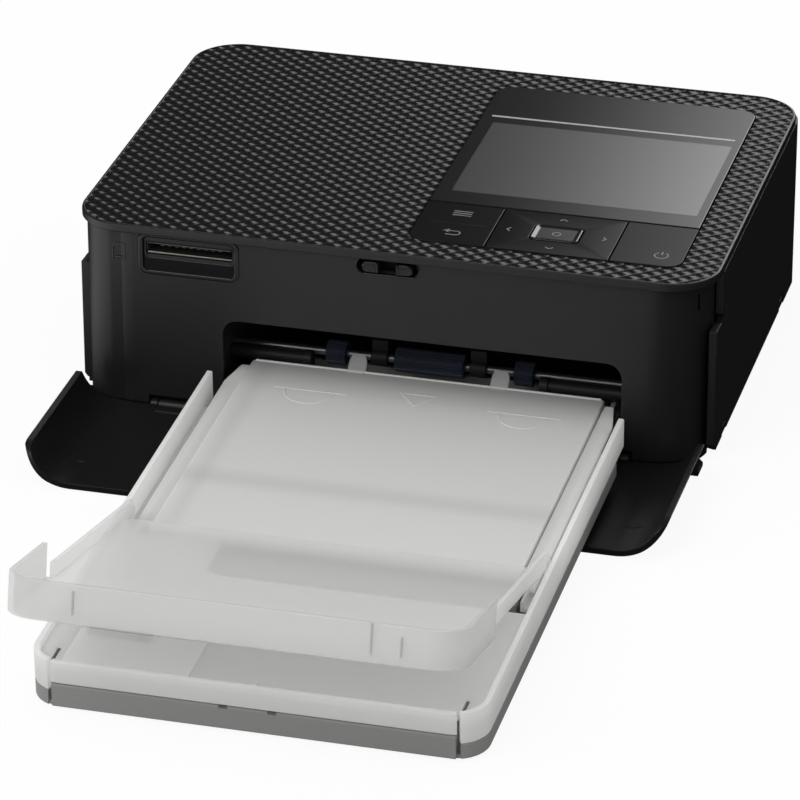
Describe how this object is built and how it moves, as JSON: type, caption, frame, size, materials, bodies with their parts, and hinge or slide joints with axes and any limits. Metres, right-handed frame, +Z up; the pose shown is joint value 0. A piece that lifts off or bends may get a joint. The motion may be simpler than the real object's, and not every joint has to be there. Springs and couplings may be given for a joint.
{
  "type": "compact photo printer",
  "caption": "Small photo printer with a hinged front door down, a paper cassette in its slot, the cassette's lid folded out as print tray, key panel and screen on top, ink door at the side",
  "frame": {"origin": "middle of the outline on the table, with the cassette in and the print tray folded out", "axes": "X to the printer's right, Y from the cassette to the printer's back, Z up"},
  "size_m": [0.1822, 0.318, 0.0578],
  "materials": {
    "black_shell": "fine satin texture",
    "satin_front": "satin, slightly lighter than the cover",
    "textured_cover": "small raised diamonds all over",
    "screen_window": "tinted clear plastic, polished",
    "screen": "unlit liquid-crystal screen",
    "key_caps": "polished",
    "rubber": "soft, matt",
    "steel": "plain",
    "circuit_board": "solder resist",
    "inner_plastic": "as moulded",
    "gear_plastic": "natural moulded, greased",
    "aluminium": "extruded heat sink",
    "motor_case": "dull",
    "ink_case": "as moulded",
    "ink_film": "thin film",
    "spool_plastic": "as moulded",
    "grey_tray": "as moulded",
    "frosted_tray": "translucent, lightly frosted"
  },
  "bodies": {
    "printer": {"bottom_case": "black_shell", "rubber_feet": "rubber", "case_screws": "steel", "top_cover": "textured_cover", "front_panel": "satin_front", "left_side_panel": "satin_front", "ribbon_bay_frame": "inner_plastic", "rear_panel": "satin_front", "control_bezel": "inner_plastic", "display_window": "screen_window", "lcd_module": "screen", "key_board": "circuit_board", "card_socket": "steel", "latch_housing": "inner_plastic", "main_board": "circuit_board", "usb_socket": "steel", "power_inlet": "inner_plastic", "battery_terminal_cover": "rubber", "fan_frame": "inner_plastic", "left_chassis_plate": "steel", "right_chassis_plate": "steel", "chassis_crossbar": "inner_plastic", "paper_guide_tubes": "inner_plastic", "feed_motor": "motor_case", "ribbon_motor": "motor_case", "motor_plate": "steel", "ink_cassette_case": "ink_case", "ink_ribbon": "ink_film", "ink_door_pins": "steel", "door_hinge_pins": "steel"},
    "menu_back_rocker": {"menu_back_key": "key_caps"},
    "direction_gimbal": {"four_way_spider": "inner_plastic"},
    "direction_key": {"four_way_key": "key_caps"},
    "centre_key": {"ok_key": "key_caps"},
    "power_button": {"power_key": "key_caps"},
    "left_latch": {"left_latch_knob": "key_caps"},
    "right_latch": {"right_latch_knob": "key_caps"},
    "fan_wheel": {"fan_rotor": "inner_plastic"},
    "feed_drive": {"feed_roller": "steel", "feed_gear": "gear_plastic"},
    "idler": {"idler_gear": "gear_plastic"},
    "pickup_drive": {"pickup_shaft": "steel", "pickup_rollers": "rubber"},
    "pinch": {"pinch_roller": "rubber"},
    "platen": {"platen_roller": "rubber"},
    "feed_motor_shaft": {"feed_pinion": "gear_plastic"},
    "ribbon_motor_shaft": {"ribbon_pinion": "gear_plastic"},
    "takeup_drive": {"ribbon_drive_hub": "gear_plastic", "takeup_spool": "spool_plastic"},
    "supply": {"supply_spool": "spool_plastic"},
    "head_carrier": {"head_arms": "steel", "print_head": "aluminium"},
    "ink_compartment_door": {"ink_door": "satin_front"},
    "paper_door": {"front_door": "black_shell"},
    "paper_cassette": {"cassette_base": "grey_tray", "cassette_frame": "frosted_tray"},
    "paper_lid": {"inner_lid": "frosted_tray"},
    "print_tray": {"output_tray": "frosted_tray"},
    "paper_lifter": {"lift_plate": "steel"}
  },
  "joints": [
    {"name": "menu_back_rock", "type": "hinge", "parent": "printer", "child": "menu_back_rocker", "pos_m": [0.01385, 0.04996, 0.0555], "axis": [1, 0, 0], "range_deg": [-1.2, 1.2], "stiffness_Nm_per_rad": 0.2},
    {"name": "direction_tip_x", "type": "hinge", "parent": "printer", "child": "direction_gimbal", "pos_m": [0.04245, 0.04996, 0.05465], "axis": [1, 0, 0], "range_deg": [-1.2, 1.2], "stiffness_Nm_per_rad": 0.2},
    {"name": "direction_tip_y", "type": "hinge", "parent": "direction_gimbal", "child": "direction_key", "pos_m": [0.04245, 0.04996, 0.05465], "axis": [0, 1, 0], "range_deg": [-0.9, 0.9], "stiffness_Nm_per_rad": 0.2},
    {"name": "centre_key_press", "type": "slide", "parent": "printer", "child": "centre_key", "axis": [0, 0, -1], "range_m": [0, 0.0003], "stiffness_N_per_m": 800},
    {"name": "power_button_press", "type": "slide", "parent": "printer", "child": "power_button", "axis": [0, 0, -1], "range_m": [0, 0.0003], "stiffness_N_per_m": 800},
    {"name": "left_latch_slide", "type": "slide", "parent": "printer", "child": "left_latch", "axis": [1, 0, 0], "range_m": [0, 0.0012], "stiffness_N_per_m": 400},
    {"name": "right_latch_slide", "type": "slide", "parent": "printer", "child": "right_latch", "axis": [-1, 0, 0], "range_m": [0, 0.0012], "stiffness_N_per_m": 400},
    {"name": "fan_spin", "type": "hinge", "parent": "printer", "child": "fan_wheel", "pos_m": [-0.0665, 0.15146, 0.034], "axis": [0, 1, 0], "continuous": true},
    {"name": "feed_turn", "type": "hinge", "parent": "printer", "child": "feed_drive", "pos_m": [0.0093, 0.07246, 0.016], "axis": [1, 0, 0], "continuous": true},
    {"name": "idler_turn", "type": "hinge", "parent": "printer", "child": "idler", "pos_m": [-0.0562, 0.05871, 0.02028], "axis": [1, 0, 0], "continuous": true},
    {"name": "pickup_turn", "type": "hinge", "parent": "printer", "child": "pickup_drive", "pos_m": [0.0093, 0.04746, 0.0146], "axis": [1, 0, 0], "continuous": true},
    {"name": "pinch_turn", "type": "hinge", "parent": "printer", "child": "pinch", "pos_m": [0.0093, 0.07246, 0.0228], "axis": [1, 0, 0], "continuous": true},
    {"name": "platen_turn", "type": "hinge", "parent": "printer", "child": "platen", "pos_m": [0.0093, 0.09446, 0.0138], "axis": [1, 0, 0], "continuous": true},
    {"name": "feed_motor_turn", "type": "hinge", "parent": "printer", "child": "feed_motor_shaft", "pos_m": [-0.0562, 0.08211, 0.0241], "axis": [1, 0, 0], "continuous": true},
    {"name": "takeup_turn", "type": "hinge", "parent": "printer", "child": "takeup_drive", "pos_m": [0.0093, 0.11446, 0.036], "axis": [1, 0, 0], "continuous": true},
    {"name": "ribbon_motor_turn", "type": "hinge", "parent": "printer", "child": "ribbon_motor_shaft", "pos_m": [-0.0562, 0.11986, 0.02665], "axis": [1, 0, 0], "continuous": true},
    {"name": "supply_turn", "type": "hinge", "parent": "printer", "child": "supply", "pos_m": [0.0093, 0.07246, 0.036], "axis": [1, 0, 0], "continuous": true},
    {"name": "head_lift", "type": "hinge", "parent": "printer", "child": "head_carrier", "pos_m": [0.0093, 0.13246, 0.03], "axis": [-1, 0, 0], "range_deg": [0, 2.5]},
    {"name": "ink_door_swing", "type": "hinge", "parent": "printer", "child": "ink_compartment_door", "pos_m": [0.08995, 0.09246, 0.004], "axis": [0, 1, 0], "range_deg": [0, 80]},
    {"name": "front_door_swing", "type": "hinge", "parent": "printer", "child": "paper_door", "pos_m": [0, 0.02756, 0.002], "axis": [-1, 0, 0], "range_deg": [0, 0.9]},
    {"name": "paper_cassette_slide", "type": "slide", "parent": "printer", "child": "paper_cassette", "axis": [0, -1, 0], "range_m": [0, 0.06]},
    {"name": "paper_lid_swing", "type": "hinge", "parent": "paper_cassette", "child": "paper_lid", "pos_m": [0.0093, -0.06364, 0.01166], "axis": [1, 0, 0], "range_deg": [0, 8]},
    {"name": "print_tray_swing", "type": "hinge", "parent": "paper_cassette", "child": "print_tray", "pos_m": [0.0093, -0.05981, 0.01446], "axis": [-1, 0, 0], "range_deg": [0, 132]},
    {"name": "paper_lifter_swing", "type": "hinge", "parent": "paper_cassette", "child": "paper_lifter", "pos_m": [0.0093, -0.02349, 0.00612], "axis": [1, 0, 0], "range_deg": [0, 2]}
  ],
  "couplings": [
    {"joint": "idler_turn", "follows": "feed_turn", "ratio": -1.6667},
    {"joint": "pickup_turn", "follows": "feed_turn", "ratio": 1.25},
    {"joint": "feed_motor_turn", "follows": "feed_turn", "ratio": -2.5},
    {"joint": "pinch_turn", "follows": "feed_turn", "ratio": -1.6},
    {"joint": "platen_turn", "follows": "feed_turn", "ratio": 0.66667},
    {"joint": "ribbon_motor_turn", "follows": "takeup_turn", "ratio": -2},
    {"joint": "supply_turn", "follows": "takeup_turn", "ratio": 0.71429},
    {"joint": "right_latch_slide", "follows": "left_latch_slide", "ratio": 1}
  ]
}
